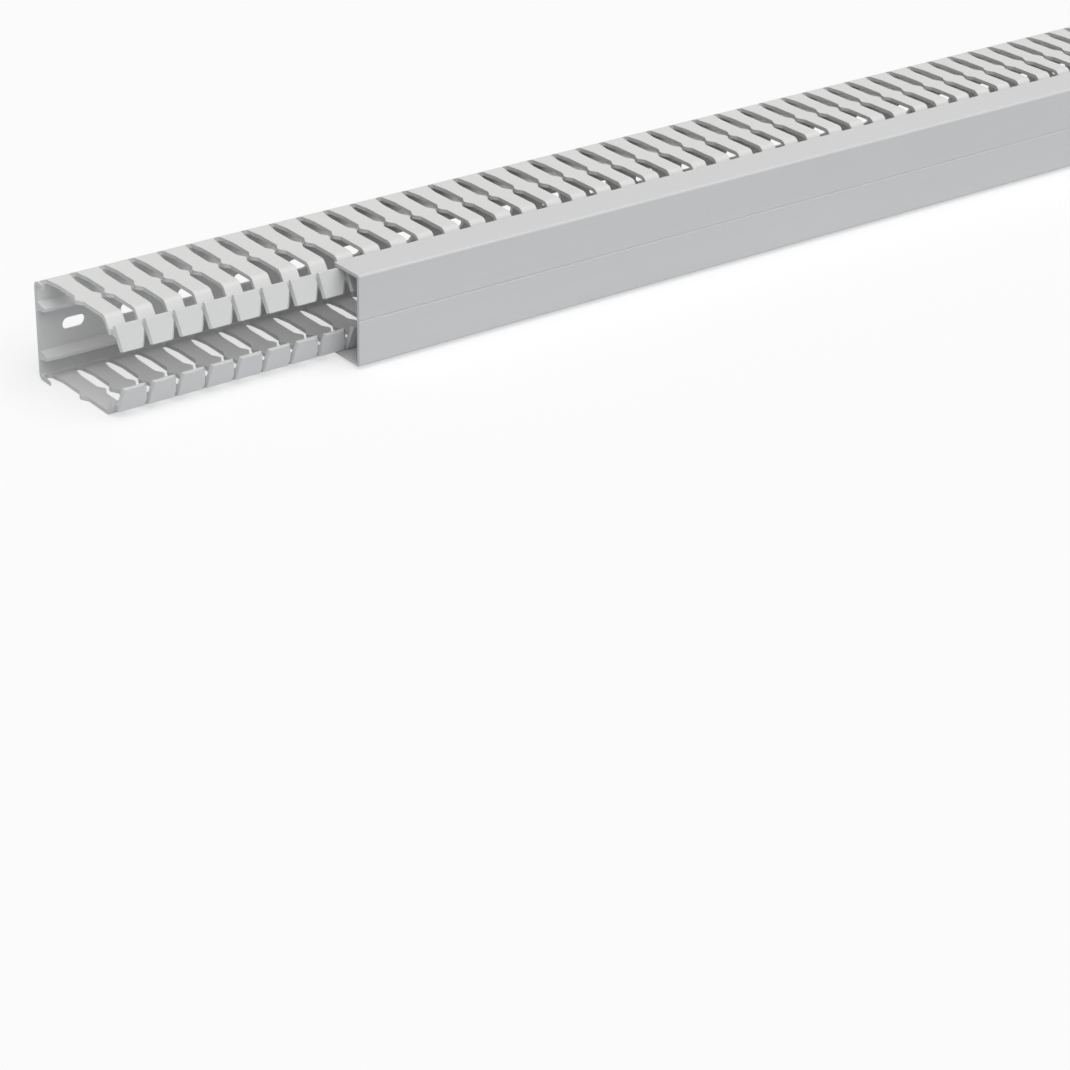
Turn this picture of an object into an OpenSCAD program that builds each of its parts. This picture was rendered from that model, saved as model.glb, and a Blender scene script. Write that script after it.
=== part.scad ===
// Slotted wire duct: an extruded, punched duct body and its clip-on cover.
// The duct lies on one side wall. X runs along its length, its mouth and
// cover face -Y and its base is at +Y. Z = 0 is the outside of the lower
// wall. X = 0 and Y = 0 are the middle of the part, cover included.

/* [Duct body] */
// Length of the duct and of its cover
duct_l = 1000; // [300:12.5:1250]
// Width over the two side walls
duct_w = 40; // [36:1:80]
// Depth from the back of the base to the face of the cover
duct_d = 62; // [56:1:100]
// Thickness of the side walls
wall_t = 1.6; // [1.2:0.1:2]
// Thickness of the base
base_t = 1.6; // [1.2:0.1:2.4]
// Outer radius where the base meets the side walls
corner_r = 2.5; // [2:0.1:3.5]
// Inner radius where the base meets the side walls
inner_r = 1; // [0.5:0.1:2]

/* [Slots and fingers] */
// Distance from one slot to the next
pitch = 12.5; // [11:0.5:16]
// Width of a slot between two fingers
slot_w = 5.2; // [4:0.1:6]
// Width of a slot at its rounded root
root_w = 3.2; // [2:0.1:4]
// Wall left between the back of the base and the root of a slot
root_gap = 1.8; // [1.7:0.1:6]
// Length over which a slot widens from its root
root_flare = 6; // [3:0.5:10]
// Width of a slot at its neck
neck_w = 1.9; // [1:0.1:3]
// Length of the two nibs that make the neck
neck_l = 7; // [4:0.5:10]
// Distance from the back of the base to the neck
neck_up = 25; // [18:0.5:28]
// Distance from the sawn left end to the middle of the slot it cuts
first_slot = 2.5; // [1:0.1:2.6]

/* [Finger heads] */
// Distance from the face of the cover to the bend where a finger turns in
bend_down = 19; // [18.8:0.1:22]
// Radius of that bend
bend_r = 3; // [1:0.5:4]
// Depth of the recess behind a head, from the outside of the wall
recess_in = 5; // [4.8:0.1:6]
// Distance from the face of the cover to the back of a head
head_back = 14.6; // [14:0.1:14.8]
// Width of the recess between a head and the shoulder behind it
recess_w = 0.9; // [0.7:0.1:1.5]
// Width of the nose along the back of a head
nose_w = 0.7; // [0.5:0.1:1]
// Distance from the face of the cover to the free edge of a head
head_front = 10.8; // [9:0.1:11.5]
// Distance from the outside of the wall to the free edge of a head
head_in = 12.4; // [11:0.1:13.5]
// Thickness of a head
head_t = 1.5; // [1.2:0.1:1.8]
// Width of the slit between two heads
slit_w = 1.7; // [1.2:0.1:2]
// Distance that the slit reaches back over the slot, from the next finger
slit_in = 0.6; // [0.2:0.1:1]
// Sideways lean of a head towards its free edge
head_lean = 1.6; // [0.5:0.1:1.8]
// Width that the corner cut takes off the free edge of a head
head_cut = 3.1; // [1:0.1:4]

/* [Base] */
// Length of a fixing hole
hole_l = 10; // [7:0.5:14]
// Width of a fixing hole
hole_w = 5; // [4:0.5:7]
// Slots from one fixing hole to the next
hole_step = 2; // [1:1:4]
// Height of the two ribs inside the base
rib_h = 5.5; // [3:0.5:7]
// Width of a rib at its foot
rib_foot = 3.6; // [2:0.1:4]
// Width of a rib at its tip
rib_tip = 1.3; // [0.8:0.1:2]
// Distance from the outside of a side wall to the middle of a rib
rib_in = 10; // [8:0.5:14]

/* [Cover] */
// Distance that the cover is pushed back along the duct
cover_open = 103; // [0:0.5:400]
// Step from the outside of a side wall to the side of the cover
cover_inset = 1.25; // [1:0.05:2]
// Thickness of the cover's face
cover_t = 1.4; // [1:0.1:1.8]
// Thickness of the cover's two flanges
flange_t = 1.3; // [1:0.1:1.5]
// Depth of the flanges, from the face of the cover
flange_d = 16.6; // [16.4:0.1:16.8]
// Depth of the hook along the edge of each flange
hook_in = 1.6; // [1:0.1:1.8]
// Thickness of that hook at its tip
hook_land = 0.6; // [0.3:0.1:0.8]
// Radius of the cover's front edges
cover_r = 1; // [0.5:0.1:1.2]
// Width of the groove along the middle of the cover
groove_w = 0.8; // [0.4:0.1:1.2]
// Depth of that groove
groove_d = 0.25; // [0.1:0.05:0.4]
// Clearance between the cover and the finger heads
fit_gap = 0.3; // [0.2:0.05:0.4]

/* [Hidden] */
$fn = 32;
shell = [0.84, 0.84, 0.85];
slots = floor((duct_l - first_slot - slot_w / 2) / pitch) + 1;
holes = floor((slots - 2) / hole_step) + 1;
left_end = -(duct_l + cover_open) / 2;
front = -duct_d / 2;
past = 1;
nose_in = cover_inset + flange_t + fit_gap;
slot_front = head_back + fit_gap;
head_clear = head_front - past;
half_slot = slot_w / 2;

// A point on a line from a to b, at the distance in_s from the wall.
function at_depth(a, b, in_s) = a + (b - a) * (in_s - a[1]) / (b[1] - a[1]);

// The unit normal of a line from a to b, to the right of its direction.
function side(a, b) = [b[1] - a[1], a[0] - b[0]] / norm(b - a);

// The corner b of a path a, b, c, rounded to radius r in n flats.
function rounded(a, b, c, r, n) =
    let (to_a = (a - b) / norm(a - b))
    let (to_c = (c - b) / norm(c - b))
    let (half = acos(to_a * to_c) / 2)
    let (centre = b + (to_a + to_c) / norm(to_a + to_c) * r / sin(half))
    let (from = b + to_a * r / tan(half) - centre)
    let (to = b + to_c * r / tan(half) - centre)
    let (turn = 180 - 2 * half)
    [for (i = [0 : n])
        centre + (from * sin(turn * (1 - i / n)) + to * sin(turn * i / n)) / sin(turn)];

// An outline in [depth, height], swept along the duct.
module along() {
    translate([left_end, front, 0])
        rotate([90, 0, 90])
            linear_extrude(height = duct_l) children();
}

// A half outline in [depth, distance from the side wall], closed by its
// mirror image.
function both_sides(half) = concat(
    half,
    [for (i = [len(half) - 1 : -1 : 0]) [half[i][0], duct_w - half[i][1]]]);

// The body's section: from the base round each wall, over the finger's
// shoulder into the recess, and out along the head.
module body_section() {
    floor_v = duct_d - base_t;
    base_mid = [duct_d, duct_w / 2];
    back = [duct_d, 0];
    bend = [bend_down, 0];
    recess = [head_back + recess_w, recess_in];
    nose = [head_back - nose_w, nose_in];
    edge = [head_front, head_in];
    wall_n = side(bend, recess) * wall_t;
    head_n = side(nose, edge) * head_t;
    inner_bend = at_depth(bend + wall_n, recess + wall_n, wall_t);
    knee = at_depth(bend + wall_n, recess + wall_n, recess_in + wall_t);
    throat = at_depth(nose + head_n, edge + head_n, knee[1] + head_t / 2);
    inner_corner = [floor_v, wall_t];
    polygon(both_sides(concat(
        [base_mid],
        rounded(base_mid, back, bend, corner_r, 6),
        rounded(back, bend, recess, bend_r, 4),
        [recess,
         [head_back, recess_in],
         [head_back, nose_in],
         nose,
         edge,
         edge + head_n,
         throat,
         knee],
        rounded(knee, inner_bend, inner_corner, bend_r - wall_t / 2, 3),
        rounded(inner_bend, inner_corner, [floor_v, duct_w / 2], inner_r, 4),
        [[floor_v, duct_w / 2]])));
}

// The section of the rib next to the lower side wall, set into the base.
module rib_section() {
    foot_v = duct_d - base_t / 2;
    floor_v = duct_d - base_t;
    rib_v = floor_v - rib_h;
    polygon([
        [foot_v, rib_in - rib_foot / 2],
        [floor_v, rib_in - rib_foot / 2],
        [rib_v, rib_in - rib_tip / 2],
        [rib_v, rib_in + rib_tip / 2],
        [floor_v, rib_in + rib_foot / 2],
        [foot_v, rib_in + rib_foot / 2]]);
}

// One slot and the slit that parts two heads, in [length, depth] from the
// middle of the slot and the face of the cover.
module slot_outline() {
    root_v = duct_d - root_gap - root_w / 2;
    neck_v = duct_d - neck_up;
    slit_back = slot_front + recess_w;
    nib_flat = neck_w / 3;
    slit_left = half_slot - slit_in;
    slit_right = slit_left + slit_w;
    head_mid = (slot_front + head_front) / 2;
    cut_to = slit_left + head_lean - head_cut;
    translate([0, root_v]) circle(d = root_w);
    polygon([
        [-root_w / 2, root_v],
        [-half_slot, root_v - root_flare],
        [-half_slot, neck_v + neck_l / 2],
        [-neck_w / 2, neck_v + nib_flat],
        [-neck_w / 2, neck_v - nib_flat],
        [-half_slot, neck_v - neck_l / 2],
        [-half_slot, slot_front],
        [slit_left, slot_front],
        [slit_left + head_lean / 2, head_mid],
        [cut_to, head_front],
        [cut_to, head_clear],
        [slit_right + head_lean, head_clear],
        [slit_right + head_lean, head_front],
        [slit_right, slot_front],
        [slit_right, slit_back],
        [half_slot, slit_back],
        [half_slot, neck_v - neck_l / 2],
        [neck_w / 2, neck_v - nib_flat],
        [neck_w / 2, neck_v + nib_flat],
        [half_slot, neck_v + neck_l / 2],
        [half_slot, root_v - root_flare],
        [root_w / 2, root_v]]);
}

// What the saw leaves of the first slot's left side and head, which have
// no finger to carry them, in the same place as that slot.
module sawn_slot() {
    flare_v = duct_d - root_gap - root_w / 2 - root_flare;
    head_end = half_slot - slit_in + (head_lean / 2 + slit_w) / 2;
    polygon([
        [-first_slot - past, head_clear],
        [head_end, head_clear],
        [head_end, slot_front],
        [0, slot_front],
        [0, flare_v],
        [-first_slot - past, flare_v]]);
}

// An oblong hole through the base.
module fixing_hole() {
    run = (hole_l - hole_w) / 2;
    translate([0, duct_d / 2 - base_t - past, duct_w / 2])
        rotate([-90, 0, 0])
            linear_extrude(height = base_t + 2 * past)
                union() {
                    translate([-run, 0]) circle(d = hole_w);
                    translate([run, 0]) circle(d = hole_w);
                    square([2 * run, hole_w], center = true);
                }
}

// An outline at slot number i, cut down through both side walls.
module through_walls(i) {
    translate([left_end + first_slot + i * pitch, front, -past])
        linear_extrude(height = duct_w + 2 * past) children();
}

module duct_body() {
    color(shell) {
        difference() {
            along() body_section();
            for (i = [0 : slots - 1])
                through_walls(i) slot_outline();
            through_walls(0) sawn_slot();
            for (i = [0 : holes - 1])
                translate([left_end + first_slot + (1 + i * hole_step) * pitch, 0, 0])
                    fixing_hole();
        }
        along() rib_section();
        along() translate([0, duct_w]) mirror([0, 1]) rib_section();
    }
}

// The cover's section: its face with a fine groove along the middle, and
// two flanges that hook behind the heads.
module cover_section() {
    flange_in = cover_inset + flange_t;
    hook_front = head_back + fit_gap;
    hook_tip = flange_in + hook_in;
    face_mid = [0, duct_w / 2];
    front_edge = [0, cover_inset];
    flange_end = [flange_d, cover_inset];
    polygon(both_sides(concat(
        [[groove_d, duct_w / 2],
         [0, (duct_w - groove_w) / 2]],
        rounded(face_mid, front_edge, flange_end, cover_r, 5),
        [flange_end,
         [flange_d - fit_gap, flange_in + fit_gap],
         [hook_front + hook_land, hook_tip],
         [hook_front, hook_tip],
         [hook_front, flange_in],
         [cover_t, flange_in],
         [cover_t, duct_w / 2]])));
}

module cover() {
    color(shell)
        translate([cover_open, 0, 0])
            along() cover_section();
}

duct_body();
cover();
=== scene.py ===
"""Slotted wire duct: the finish of its two PVC extrusions, the light and the camera."""

import math

import bpy
from mathutils import Euler, Matrix, Vector

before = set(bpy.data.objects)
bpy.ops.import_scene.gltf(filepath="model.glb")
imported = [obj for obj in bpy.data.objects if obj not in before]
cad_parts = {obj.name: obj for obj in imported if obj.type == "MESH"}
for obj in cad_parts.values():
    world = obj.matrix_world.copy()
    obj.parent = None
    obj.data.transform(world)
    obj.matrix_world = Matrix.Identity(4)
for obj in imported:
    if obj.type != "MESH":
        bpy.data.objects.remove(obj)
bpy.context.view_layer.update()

MM = 0.001

# The camera stands in front of the duct's uncovered end, above it, in metres.
CAMERA_AT = Vector((-1.0302, -0.8986, 0.4763))
CAMERA_AZIMUTH = math.radians(-37.58)
CAMERA_ELEVATION = math.radians(27.61)
CAMERA_ROLL = math.radians(1.31)
CAMERA_LENS = 101.3

# The key lamp, from above the front, and the share of light that comes from all round.
KEY_STRENGTH = 2.6
KEY_AZIMUTH = math.radians(5)
KEY_ELEVATION = math.radians(66)
KEY_SOFTNESS = math.radians(80)
WORLD_STRENGTH = 0.24

# The floor: its half width, how far it lies under the duct, what it throws back, how it
# looks, and where its pale look, part of it pure white, fades to all white.
FLOOR_HALF = 8.0
FLOOR_DROP = 0.1 * MM
FLOOR_BOUNCE = (0.70, 0.73, 0.77, 1)
FLOOR_PALE = (0.92, 0.92, 0.92, 1)
FLOOR_WHITE_SHARE = 0.6
FADE_START = 0.8
FADE_END = 2.5

# The greys of the two extrusions, and how rough and glossy each is.
BODY_GREY = (0.650, 0.650, 0.642)
BODY_ROUGHNESS = 0.46
BODY_SPECULAR = 0.45
# The cover is the same PVC as the body. Its grey is set darker as painted shade, standing in
# for the dimmer light on its front face.
COVER_SHADED_GREY = (0.582, 0.582, 0.582)
COVER_ROUGHNESS = 0.40
COVER_SPECULAR = 0.5
PVC_IOR = 1.53

# Patterns in the PVC: the stretch along X, Y and Z, the scale and the detail of each noise.
DRAW_LINES = ((3, 900, 900), 1.0, 4.0)
CLOUDS = ((1, 3, 3), 9.0, 2.0)
GRAIN = ((1, 1, 1), 1800.0, 2.0)
SAW_MARKS = ((60, 500, 1500), 1.0, 3.0)

# How far each pattern darkens and lightens the grey; the edge tint is a painted highlight, not
# a pattern in the PVC.
DRAW_TINT = (0.975, 1.025)
CLOUD_TINT = (0.97, 1.03)
CUT_TINT = (1.0, 1.045)
EDGE_HIGHLIGHT_TINT = (1.0, 1.06)

# How much the clouds change the roughness, and how much rougher a cut face is.
CLOUD_ROUGHNESS = 0.05
CUT_ROUGHNESS = 0.18

# How high each pattern stands in the bump, and the bump itself.
DRAW_RELIEF = 0.6
GRAIN_RELIEF = 0.35
SAW_RELIEF = 1.2
BUMP_STRENGTH = 0.35
BUMP_HEIGHT = 0.02 * MM

# A face counts as cut across as its normal turns to X between these shares. Edges are
# softened over a radius, and are told from flat faces by the turn of the normal.
CUT_FROM = 0.45
CUT_TO = 0.9
EDGE_RADIUS = 0.25 * MM
EDGE_TURN = 0.8


class Nodes:
    """A short way to write a material's node tree."""

    def __init__(self, material):
        self.tree = material.node_tree
        self.tree.nodes.clear()

    def add(self, kind, settings=None, **inputs):
        """A node with its settings and its inputs: each a number or a socket."""
        node = self.tree.nodes.new("ShaderNode" + kind)
        for name, value in (settings or {}).items():
            setattr(node, name, value)
        for name, value in inputs.items():
            socket = node.inputs[int(name[1:]) if name[0] == "_" else name.replace("_", " ")]
            if isinstance(value, bpy.types.NodeSocket):
                self.tree.links.new(value, socket)
            else:
                socket.default_value = value
        return node

    def math(self, operation, a, b=0.0):
        return self.add("Math", {"operation": operation}, _0=a, _1=b).outputs[0]

    def smooth_step(self, value, start, end, low=0.0):
        """Rises smoothly from low to 1 as the value goes from start to end."""
        return self.add("MapRange", {"interpolation_type": "SMOOTHSTEP"}, Value=value,
                        From_Min=start, From_Max=end, To_Min=low).outputs[0]

    def noise(self, place, stretch, scale, detail):
        """Noise on the object's own coordinates, stretched along each axis."""
        at = self.add("Mapping", Vector=place, Scale=stretch).outputs[0]
        return self.add("TexNoise", Vector=at, Scale=scale, Detail=detail).outputs[0]

    def tint(self, colour, amount, darkest, lightest):
        """The colour made darker or lighter as amount goes from 0 to 1."""
        level = self.add("MapRange", Value=amount, To_Min=darkest, To_Max=lightest).outputs[0]
        return self.add("VectorMath", {"operation": "SCALE"}, _0=colour, Scale=level).outputs[0]

    def stack(self, *reliefs):
        """The sum of patterns, each with its height."""
        total = 0.0
        for pattern, height in reliefs:
            total = self.math("ADD", total, self.math("MULTIPLY", pattern, height))
        return total


def pvc(name, grey, roughness, specular):
    """Extruded rigid PVC: draw lines along X, faint clouding, a fine grain, and pale
    rougher faces where the profile was punched or sawn across."""
    material = bpy.data.materials.new(name)
    material.use_nodes = True
    n = Nodes(material)
    own = n.add("TexCoord").outputs
    place = own["Object"]
    across = n.math("ABSOLUTE", n.add("SeparateXYZ", _0=own["Normal"]).outputs["X"])
    cut = n.smooth_step(across, CUT_FROM, CUT_TO)
    drawn = n.noise(place, *DRAW_LINES)
    clouds = n.noise(place, *CLOUDS)
    grain = n.noise(place, *GRAIN)
    sawn = n.noise(place, *SAW_MARKS)
    normal = n.add("NewGeometry").outputs["Normal"]
    soft = n.add("Bevel", {"samples": 4}, Radius=EDGE_RADIUS).outputs[0]
    facing = n.add("VectorMath", {"operation": "DOT_PRODUCT"}, _0=soft, _1=normal)
    # Painted highlight: the grey is lightened along the edges, where the softened normal turns
    # away from the face's own.
    edge_highlight = n.add("MapRange", Value=facing.outputs["Value"],
                 From_Min=1.0, From_Max=EDGE_TURN).outputs[0]

    colour = n.add("RGB").outputs[0]
    colour.default_value = (*grey, 1)
    for amount, limits in ((drawn, DRAW_TINT), (clouds, CLOUD_TINT), (cut, CUT_TINT),
                           (edge_highlight, EDGE_HIGHLIGHT_TINT)):
        colour = n.tint(colour, amount, *limits)

    rough = n.add("MapRange", Value=clouds, To_Min=roughness - CLOUD_ROUGHNESS,
                  To_Max=roughness + CLOUD_ROUGHNESS).outputs[0]
    rough = n.math("ADD", rough, n.math("MULTIPLY", cut, CUT_ROUGHNESS))

    lines = n.math("MULTIPLY", drawn, n.math("SUBTRACT", 1.0, cut))
    marks = n.math("MULTIPLY", sawn, cut)
    relief = n.stack((lines, DRAW_RELIEF), (grain, GRAIN_RELIEF), (marks, SAW_RELIEF))
    bump = n.add("Bump", Strength=BUMP_STRENGTH, Distance=BUMP_HEIGHT,
                 Height=relief, Normal=soft).outputs[0]

    shader = n.add("BsdfPrincipled", Base_Color=colour, Roughness=rough, IOR=PVC_IOR,
                   Specular_IOR_Level=specular, Normal=bump)
    n.add("OutputMaterial", Surface=shader.outputs[0])
    return material


def dress(node, material):
    """Gives a CAD node its finish."""
    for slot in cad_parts[node].material_slots:
        slot.material = material


def seen_ray(n):
    """1 on the rays that the camera, gloss and glass send, 0 on those that light things."""
    path = n.add("LightPath").outputs
    mirrored = n.math("MAXIMUM", path["Is Glossy Ray"], path["Is Transmission Ray"])
    return n.math("MAXIMUM", path["Is Camera Ray"], mirrored)


def pale_floor():
    """A wide floor just under the duct, which looks nearly white, keeps the duct's shadow and
    fades to pure white far off. It throws back only part of the light."""
    mesh = bpy.data.meshes.new("floor")
    corners = [(x * FLOOR_HALF, y * FLOOR_HALF, -FLOOR_DROP)
               for x, y in ((-1, -1), (1, -1), (1, 1), (-1, 1))]
    mesh.from_pydata(corners, [], [(0, 1, 2, 3)])
    floor = bpy.data.objects.new("floor", mesh)
    bpy.context.collection.objects.link(floor)
    material = bpy.data.materials.new("pale_floor")
    material.use_nodes = True
    n = Nodes(material)
    dull = n.add("BsdfDiffuse", Color=FLOOR_BOUNCE).outputs[0]
    pale = n.add("BsdfDiffuse", Color=FLOOR_PALE).outputs[0]
    white = n.add("Emission", Strength=1.0).outputs[0]
    place = n.add("TexCoord").outputs["Object"]
    away = n.add("VectorMath", {"operation": "LENGTH"}, _0=place).outputs["Value"]
    fade = n.smooth_step(away, FADE_START, FADE_END, low=FLOOR_WHITE_SHARE)
    looks = n.add("MixShader", _0=fade, _1=pale, _2=white).outputs[0]
    surface = n.add("MixShader", _0=seen_ray(n), _1=dull, _2=looks).outputs[0]
    n.add("OutputMaterial", Surface=surface)
    mesh.materials.append(material)


def key_light():
    """One wide soft lamp."""
    light = bpy.data.lights.new("key", "SUN")
    light.energy = KEY_STRENGTH
    light.angle = KEY_SOFTNESS
    lamp = bpy.data.objects.new("key", light)
    level = math.cos(KEY_ELEVATION)
    back = Vector((math.sin(KEY_AZIMUTH) * level, -math.cos(KEY_AZIMUTH) * level,
                   math.sin(KEY_ELEVATION)))
    lamp.rotation_euler = back.to_track_quat("Z", "Y").to_euler()
    bpy.context.collection.objects.link(lamp)


def plain_world():
    """An even world, which the camera, gloss and glass see as white."""
    world = bpy.data.worlds.new("studio")
    bpy.context.scene.world = world
    world.use_nodes = True
    n = Nodes(world)
    light = n.add("Background", Color=(1, 1, 1, 1), Strength=WORLD_STRENGTH).outputs[0]
    white = n.add("Background", Color=(1, 1, 1, 1), Strength=1.0).outputs[0]
    surface = n.add("MixShader", _0=seen_ray(n), _1=light, _2=white).outputs[0]
    n.add("OutputWorld", Surface=surface)


def camera():
    """The camera, with no shift and no depth of field."""
    data = bpy.data.cameras.new("camera")
    data.lens = CAMERA_LENS
    data.sensor_width = 36
    data.clip_start = 0.05
    data.clip_end = 50
    eye = bpy.data.objects.new("camera", data)
    eye.location = CAMERA_AT
    aim = Euler((math.pi / 2 - CAMERA_ELEVATION, 0, CAMERA_AZIMUTH)).to_matrix()
    eye.rotation_euler = (aim @ Matrix.Rotation(CAMERA_ROLL, 3, "Z")).to_euler()
    bpy.context.collection.objects.link(eye)
    bpy.context.scene.camera = eye


camera()
dress("duct_body", pvc("body_pvc", BODY_GREY, BODY_ROUGHNESS, BODY_SPECULAR))
dress("cover", pvc("cover_pvc", COVER_SHADED_GREY, COVER_ROUGHNESS, COVER_SPECULAR))
pale_floor()
key_light()
plain_world()
bpy.context.scene.view_settings.view_transform = "Standard"
